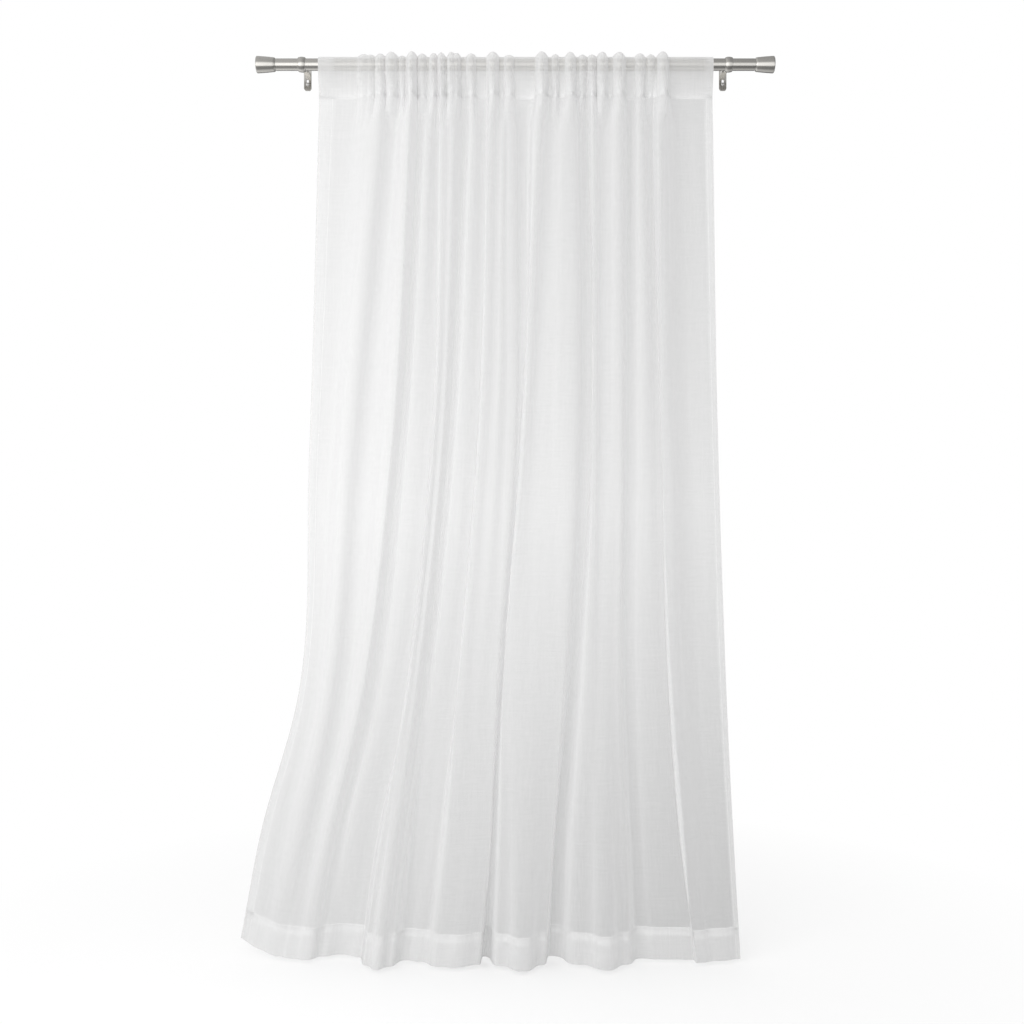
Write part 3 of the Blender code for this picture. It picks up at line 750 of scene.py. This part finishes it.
def slub_weave_group():
    """Threads and uneven slubs of a plain weave: slubs along the warp, slubs along the weft."""
    group = bpy.data.node_groups.new("Slub weave", "ShaderNodeTree")
    for name, kind, value in (
        ("Flat Cloth", "NodeSocketVector", None),
        ("Threads per Metre", "NodeSocketFloat", 1500.0),
        ("Slub Length", "NodeSocketFloat", 0.05),
        ("Slub Width", "NodeSocketFloat", 0.0012),
    ):
        socket = group.interface.new_socket(name=name, in_out="INPUT", socket_type=kind)
        if value is not None:
            socket.default_value = value
    for name in ("Slubs Down", "Slubs Across", "Threads", "Height"):
        group.interface.new_socket(name=name, in_out="OUTPUT", socket_type="NodeSocketFloat")
    nodes = Nodes(group)
    inputs = group.nodes.new("NodeGroupInput")
    flat = nodes.add("ShaderNodeSeparateXYZ", Vector=inputs.outputs["Flat Cloth"])
    wide = nodes.math("DIVIDE", 1.0, inputs.outputs["Slub Width"])
    long = nodes.math("DIVIDE", 1.0, inputs.outputs["Slub Length"])

    def slubs(first, second, offset):
        vector = nodes.add(
            "ShaderNodeCombineXYZ",
            X=nodes.math("MULTIPLY", first, wide),
            Y=nodes.math("MULTIPLY", second, long),
            Z=offset,
        )
        noise = nodes.add(
            "ShaderNodeTexNoise", Vector=vector.outputs[0], Scale=1.0, Detail=2.0, Roughness=0.6
        )
        return noise.outputs["Fac"]

    def waves(place):
        return nodes.math("ABSOLUTE", nodes.math("SINE", nodes.math("MULTIPLY", place, turns)))

    down = slubs(flat.outputs["X"], flat.outputs["Y"], SLUBS_DOWN_PLACE)
    across = slubs(flat.outputs["Y"], flat.outputs["X"], SLUBS_ACROSS_PLACE)
    turns = nodes.math("MULTIPLY", inputs.outputs["Threads per Metre"], math.pi)
    threads = nodes.math("MAXIMUM", waves(flat.outputs["X"]), waves(flat.outputs["Y"]))
    height = nodes.math(
        "ADD", nodes.math("MULTIPLY", threads, THREAD_HEIGHT), nodes.math("ADD", down, across)
    )
    out = group.nodes.new("NodeGroupOutput")
    for name, value in (
        ("Slubs Down", down), ("Slubs Across", across), ("Threads", threads), ("Height", height)
    ):
        group.links.new(value, out.inputs[name])
    return group


def place_group(nodes, group, **values):
    node = nodes.tree.nodes.new("ShaderNodeGroup")
    node.node_tree = group
    for name, value in values.items():
        socket = node.inputs[name.replace("_", " ")]
        if isinstance(value, bpy.types.NodeSocket):
            nodes.tree.links.new(value, socket)
        else:
            socket.default_value = value
    return node


# Voile: share of the area its threads cover, and what the slubs, the threads' own waves and a
# turned edge add to it; the most and least it can be; and how edge on it may be seen
COVER = 0.50
SLUB_COVER = 0.10
THREAD_COVER, THREAD_MIDDLE = 0.25, 0.8
TURNED_COVER = 0.40
LEAST_COVER, MOST_COVER = 0.05, 0.96
LEAST_UPRIGHT = 0.42
# Share of the light on the threads that passes through them
GLOW = 0.45
VOILE_SHADES = ((0.88, 0.88, 0.88), (0.91, 0.91, 0.91))
THREAD_SHADES = ((0.86, 0.86, 0.85), (0.96, 0.96, 0.95))
# How much the brushed lines and marks change the metal's roughness
BRUSHED_ROUGHNESS = 0.16


def new_material(name):
    material = bpy.data.materials.new(name)
    material.use_nodes = True
    nodes = Nodes(material.node_tree)
    return material, nodes, material.node_tree.nodes["Principled BSDF"]


def voile_material(slub_weave):
    """Sheer cloth: slubbed threads cover about half of what is behind, more where seen edge on."""
    material, nodes, shader = new_material("voile")
    flat = nodes.add("ShaderNodeUVMap", settings={"uv_map": "flat_cloth"})
    weave = place_group(nodes, slub_weave, Flat_Cloth=flat.outputs["UV"])
    slubs = nodes.math("ADD", weave.outputs["Slubs Down"], weave.outputs["Slubs Across"])
    cover = nodes.math("MULTIPLY_ADD", nodes.math("SUBTRACT", slubs, 1.0), SLUB_COVER, COVER)
    down = nodes.add("ShaderNodeSeparateXYZ", Vector=flat.outputs["UV"]).outputs["Y"]
    at_pocket = nodes.math("LESS_THAN", down, TURNED_EDGE)
    at_hem = nodes.math("GREATER_THAN", down, FLAT_LENGTH - TURNED_EDGE)
    turned_in = nodes.math("ADD", at_pocket, at_hem)
    cover = nodes.math("MULTIPLY_ADD", turned_in, TURNED_COVER, cover)
    waves = nodes.math("SUBTRACT", weave.outputs["Threads"], THREAD_MIDDLE)
    cover = nodes.math("MULTIPLY_ADD", waves, THREAD_COVER, cover)
    cover = nodes.math("MINIMUM", nodes.math("MAXIMUM", cover, LEAST_COVER), MOST_COVER)
    facing = nodes.add("ShaderNodeLayerWeight", Blend=0.5).outputs["Facing"]
    upright = nodes.math("MAXIMUM", nodes.math("SUBTRACT", 1.0, facing), LEAST_UPRIGHT)
    gaps = nodes.math("SUBTRACT", 1.0, cover)
    open_share = nodes.math("POWER", gaps, nodes.math("DIVIDE", 1.0, upright))
    alpha = nodes.math("SUBTRACT", 1.0, open_share)
    shade = nodes.between(nodes.math("MULTIPLY", slubs, 0.5), *VOILE_SHADES)
    nodes.tree.links.new(shade, shader.inputs["Base Color"])
    bump = nodes.add(
        "ShaderNodeBump", Strength=0.15, Distance=0.0004, Height=weave.outputs["Height"]
    ).outputs["Normal"]
    nodes.tree.links.new(bump, shader.inputs["Normal"])
    shader.inputs["Roughness"].default_value = 0.9
    shader.inputs["Specular IOR Level"].default_value = 0.15
    glow = nodes.add("ShaderNodeBsdfTranslucent", Color=shade, Normal=bump)
    threads = nodes.mix_shaders(GLOW, shader.outputs[0], glow.outputs[0])
    holes = nodes.add("ShaderNodeBsdfTransparent")
    nodes.show(nodes.mix_shaders(alpha, holes.outputs[0], threads))
    return material


def thread_material():
    """White sewing thread, faintly mottled."""
    material, nodes, shader = new_material("thread")
    place = nodes.add("ShaderNodeTexCoord")
    noise = nodes.add(
        "ShaderNodeTexNoise", Vector=place.outputs["Object"], Scale=900.0, Detail=3.0
    )
    shade = nodes.between(noise.outputs["Fac"], *THREAD_SHADES)
    nodes.tree.links.new(shade, shader.inputs["Base Color"])
    shader.inputs["Roughness"].default_value = 0.6
    return material


def brushed_group():
    """Fine scratches round a turned or brushed surface, and faint handling marks."""
    group = bpy.data.node_groups.new("Brushed marks", "ShaderNodeTree")
    for name, kind, value in (
        ("Position", "NodeSocketVector", None),
        ("Lines per Metre", "NodeSocketFloat", 4000.0),
        ("Line Length", "NodeSocketFloat", 0.02),
    ):
        socket = group.interface.new_socket(name=name, in_out="INPUT", socket_type=kind)
        if value is not None:
            socket.default_value = value
    for name in ("Lines", "Marks"):
        group.interface.new_socket(name=name, in_out="OUTPUT", socket_type="NodeSocketFloat")
    nodes = Nodes(group)
    inputs = group.nodes.new("NodeGroupInput")
    place = nodes.add("ShaderNodeSeparateXYZ", Vector=inputs.outputs["Position"])
    long = nodes.math("DIVIDE", 1.0, inputs.outputs["Line Length"])
    vector = nodes.add(
        "ShaderNodeCombineXYZ",
        X=nodes.math("MULTIPLY", place.outputs["X"], inputs.outputs["Lines per Metre"]),
        Y=nodes.math("MULTIPLY", place.outputs["Y"], long),
        Z=nodes.math("MULTIPLY", place.outputs["Z"], long),
    )
    lines = nodes.add("ShaderNodeTexNoise", Vector=vector.outputs[0], Scale=1.0, Detail=2.0)
    marks = nodes.add(
        "ShaderNodeTexNoise", Vector=inputs.outputs["Position"],
        Scale=45.0, Detail=4.0, Roughness=0.65,
    )
    out = group.nodes.new("NodeGroupOutput")
    group.links.new(lines.outputs["Fac"], out.inputs["Lines"])
    group.links.new(marks.outputs["Fac"], out.inputs["Marks"])
    return group


def metal_material(name, brushed, dark, light, roughness, lines_per_metre):
    """Satin metal between two shades, rougher and rippled along its brushed lines."""
    material, nodes, shader = new_material(name)
    place = nodes.add("ShaderNodeTexCoord")
    marks = place_group(
        nodes, brushed, Position=place.outputs["Object"], Lines_per_Metre=lines_per_metre
    )
    shade = nodes.between(marks.outputs["Lines"], dark, light)
    nodes.tree.links.new(shade, shader.inputs["Base Color"])
    worn = nodes.math("ADD", marks.outputs["Lines"], marks.outputs["Marks"])
    rough = nodes.math("MULTIPLY_ADD", worn, BRUSHED_ROUGHNESS, roughness - BRUSHED_ROUGHNESS)
    nodes.tree.links.new(rough, shader.inputs["Roughness"])
    bump = nodes.add(
        "ShaderNodeBump", Strength=0.12, Distance=0.0001, Height=marks.outputs["Lines"]
    )
    nodes.tree.links.new(bump.outputs["Normal"], shader.inputs["Normal"])
    shader.inputs["Metallic"].default_value = 1.0
    return material


def wear(obj, material):
    obj.data.materials.clear()
    obj.data.materials.append(material)


# --- Stage ---------------------------------------------------------------------------------------

CAMERA_DISTANCE = 2.9
CAMERA_DROP = 1.0547
CAMERA_SIDE = -0.0078
LENS, SENSOR_WIDTH = 43.24, 36.0
WHITE = (1.0, 1.0, 1.0, 1.0)
# Floor: side, distance under the hem, its own grey and glow close by, and what it gives back
FLOOR_SIDE, FLOOR_GAP = 60, 0.012
FLOOR_GREY, FLOOR_GLOW, FLOOR_BOUNCE = 0.52, 0.36, 0.45
# Painted shade seen through the cloth: a plain grey standing in for the shadowed room behind it.
# Its level straight ahead, then its change towards the right, upwards, and off level either way
PAINTED_SHADE_LEVEL, PAINTED_SHADE_RIGHTWARD, PAINTED_SHADE_UPWARD, PAINTED_SHADE_OFF_LEVEL = 0.78, -0.75, 0.30, -0.80
# Distance from the object, in metres, over which the floor pales to the white surround
FLOOR_PALES_FROM, FLOOR_PALES_TO = 0.5, 1.6
STUDIO_GREY, STUDIO_STRENGTH = 0.7, 1.45
# Key light: its place and aim from a point low in the middle of the cloth, side and watts
LIT_DROP = 1.0
KEY_PLACE, KEY_AIM = (-1.1, -2.3, 0.5), (0.0, 0.0, 0.1)
KEY_SIDE, KEY_POWER = 2.4, 45


def add_camera():
    data = bpy.data.cameras.new("camera")
    data.lens = LENS
    data.sensor_width = SENSOR_WIDTH
    camera = bpy.data.objects.new("camera", data)
    camera.location = ROD_MIDDLE + Vector((CAMERA_SIDE, -CAMERA_DISTANCE, -CAMERA_DROP))
    camera.rotation_euler = (math.pi / 2, 0.0, 0.0)
    bpy.context.scene.collection.objects.link(camera)
    bpy.context.scene.camera = camera


def add_floor():
    """A pale floor under the hem: it takes a soft shadow close by and pales to the surround."""
    bpy.ops.object.select_all(action="DESELECT")
    height = PANEL_BOTTOM - FLOOR_GAP
    place = (ROD_MIDDLE.x, ROD_MIDDLE.y, height)
    bpy.ops.mesh.primitive_plane_add(size=FLOOR_SIDE, location=place)
    floor = bpy.context.object
    floor.name = "floor"
    floor.visible_glossy = False
    material, nodes, shader = new_material("pale_floor")
    shader.inputs["Base Color"].default_value = (FLOOR_GREY,) * 3 + (1.0,)
    shader.inputs["Roughness"].default_value = 0.9
    shader.inputs["Specular IOR Level"].default_value = 0.0
    shader.inputs["Emission Color"].default_value = WHITE
    shader.inputs["Emission Strength"].default_value = FLOOR_GLOW
    place = nodes.add("ShaderNodeTexCoord")
    away = nodes.add(
        "ShaderNodeVectorMath", settings={"operation": "LENGTH"}, i0=place.outputs["Object"]
    )
    pale = nodes.add("ShaderNodeMapRange", Value=away.outputs["Value"])
    pale.inputs["From Min"].default_value = FLOOR_PALES_FROM
    pale.inputs["From Max"].default_value = FLOOR_PALES_TO
    white = nodes.add("ShaderNodeEmission", Color=WHITE)
    near = nodes.mix_shaders(pale.outputs["Result"], shader.outputs[0], white.outputs[0])
    clear = nodes.add("ShaderNodeBsdfTransparent")
    bounce = nodes.add("ShaderNodeBsdfDiffuse", Color=(FLOOR_BOUNCE,) * 3 + (1.0,))
    path = nodes.add("ShaderNodeLightPath")
    # Through the cloth the floor turns clear, so the world's painted grey shade shows behind the
    # cloth
    through = nodes.math("GREATER_THAN", path.outputs["Transparent Depth"], 0.5)
    seen = nodes.mix_shaders(through, near, clear.outputs[0])
    nodes.show(nodes.mix_shaders(path.outputs["Is Camera Ray"], bounce.outputs[0], seen))
    wear(floor, material)


# What the metal mirrors, by angle in degrees round the rod: 0 straight ahead of it, 90 overhead,
# -90 straight down, 180 behind; level at each
MIRRORED_BELTS = (
    (-180, 0.95), (-173, 0.50), (-166, 0.10), (-152, 0.12), (-141, 0.95), (-122, 0.90),
    (-98, 0.76), (-84, 0.38), (-46, 0.34), (-40, 0.55), (-33, 1.4), (-26, 1.75), (2, 1.75),
    (24, 0.63), (120, 0.60), (150, 0.50), (165, 1.1), (180, 1.0),
)
# The belts' strength at each end of the rod, where they are met this far off straight ahead
BELTS_SPREAD, BELTS_LEFT, BELTS_RIGHT = 0.25, 1.06, 0.60


def add_world():
    """White surround, painted grey shade behind the cloth, even soft light, broad belts for the
    metal.
    """
    world = bpy.data.worlds.new("studio")
    bpy.context.scene.world = world
    world.use_nodes = True
    tree = world.node_tree
    tree.nodes.clear()
    nodes = Nodes(tree)
    direction = nodes.add("ShaderNodeTexCoord").outputs["Generated"]
    towards = nodes.add("ShaderNodeSeparateXYZ", Vector=direction)
    into_room = nodes.math("MULTIPLY", towards.outputs["Y"], -1.0)
    around = nodes.math("ARCTAN2", towards.outputs["Z"], into_room)
    turn = nodes.add("ShaderNodeMapRange", Value=around)
    turn.inputs["From Min"].default_value = -math.pi
    turn.inputs["From Max"].default_value = math.pi
    ramp = nodes.add("ShaderNodeValToRGB", Fac=turn.outputs["Result"])
    elements = ramp.color_ramp.elements
    for degrees, level in MIRRORED_BELTS:
        if abs(degrees) == 180:
            element = elements[0 if degrees < 0 else len(elements) - 1]
        else:
            element = elements.new(degrees / 360 + 0.5)
        element.color = (level, level, level, 1.0)
    strength = nodes.add("ShaderNodeMapRange", Value=towards.outputs["X"])
    strength.inputs["From Min"].default_value = -BELTS_SPREAD
    strength.inputs["From Max"].default_value = BELTS_SPREAD
    strength.inputs["To Min"].default_value = BELTS_LEFT
    strength.inputs["To Max"].default_value = BELTS_RIGHT
    mirrored = nodes.add(
        "ShaderNodeBackground", Color=ramp.outputs["Color"], Strength=strength.outputs["Result"]
    )
    even = nodes.add(
        "ShaderNodeBackground", Color=(STUDIO_GREY,) * 3 + (1.0,), Strength=STUDIO_STRENGTH
    )
    white = nodes.add("ShaderNodeBackground", Color=WHITE)
    # Painted shade: camera rays that come through the cloth see this grey instead of the white
    # surround. It is darker to the right and away from level, most of all downward.
    level = nodes.math("MULTIPLY_ADD", towards.outputs["X"], PAINTED_SHADE_RIGHTWARD, PAINTED_SHADE_LEVEL)
    level = nodes.math("MULTIPLY_ADD", towards.outputs["Z"], PAINTED_SHADE_UPWARD, level)
    off_level = nodes.math("ABSOLUTE", towards.outputs["Z"])
    level = nodes.math("MULTIPLY_ADD", off_level, PAINTED_SHADE_OFF_LEVEL, level)
    grey = nodes.add("ShaderNodeBackground", Color=WHITE, Strength=level)
    path = nodes.add("ShaderNodeLightPath")
    through = nodes.math("GREATER_THAN", path.outputs["Transparent Depth"], 0.5)
    seen = nodes.mix_shaders(through, white.outputs[0], grey.outputs[0])
    soft = nodes.mix_shaders(
        path.outputs["Is Glossy Ray"], even.outputs[0], mirrored.outputs[0]
    )
    both = nodes.mix_shaders(path.outputs["Is Camera Ray"], soft, seen)
    output = nodes.add("ShaderNodeOutputWorld")
    tree.links.new(both, output.inputs["Surface"])


def add_key_light():
    """One broad soft light, high on the left in the room."""
    data = bpy.data.lights.new("key_light", "AREA")
    data.size = KEY_SIDE
    data.energy = KEY_POWER
    centre = ROD_MIDDLE - Vector((0.0, 0.0, LIT_DROP))
    place, aim = centre + Vector(KEY_PLACE), centre + Vector(KEY_AIM)
    light = bpy.data.objects.new("key_light", data)
    light.location = place
    light.rotation_euler = (aim - place).to_track_quat("-Z", "Y").to_euler()
    light.visible_glossy = False
    bpy.context.scene.collection.objects.link(light)


# --- Make everything -----------------------------------------------------------------------------

TRANSPARENT_BOUNCES = 24

scene = bpy.context.scene
scene.view_settings.view_transform = "Standard"
scene.cycles.transparent_max_bounces = TRANSPARENT_BOUNCES

add_camera()
add_floor()
add_world()
add_key_light()

slub_weave = slub_weave_group()
brushed = brushed_group()
voile = voile_material(slub_weave)
thread = thread_material()
satin_steel = metal_material(
    "satin_steel_brushed", brushed, (0.56, 0.545, 0.515), (0.68, 0.665, 0.635), 0.20, 3500.0
)
screw_steel = metal_material(
    "screw_steel_plated", brushed, (0.62, 0.61, 0.60), (0.78, 0.77, 0.76), 0.24, 1500.0
)

curtain, *sewn_along = build_voile()
wear(curtain, voile)
stitching = build_stitching(*sewn_along)
wear(stitching, thread)

build_rod(satin_steel)
build_finials(satin_steel)
put_by_each_plate(
    bracket_at_origin(), "bracket_arm_and_plate", "bracket", satin_steel
)
put_by_each_plate(
    screw_at_origin(), "screw_cross_head", "wall_screw", screw_steel
)

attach(curtain, "root")
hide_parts("curtain_panel")
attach(stitching, "root")
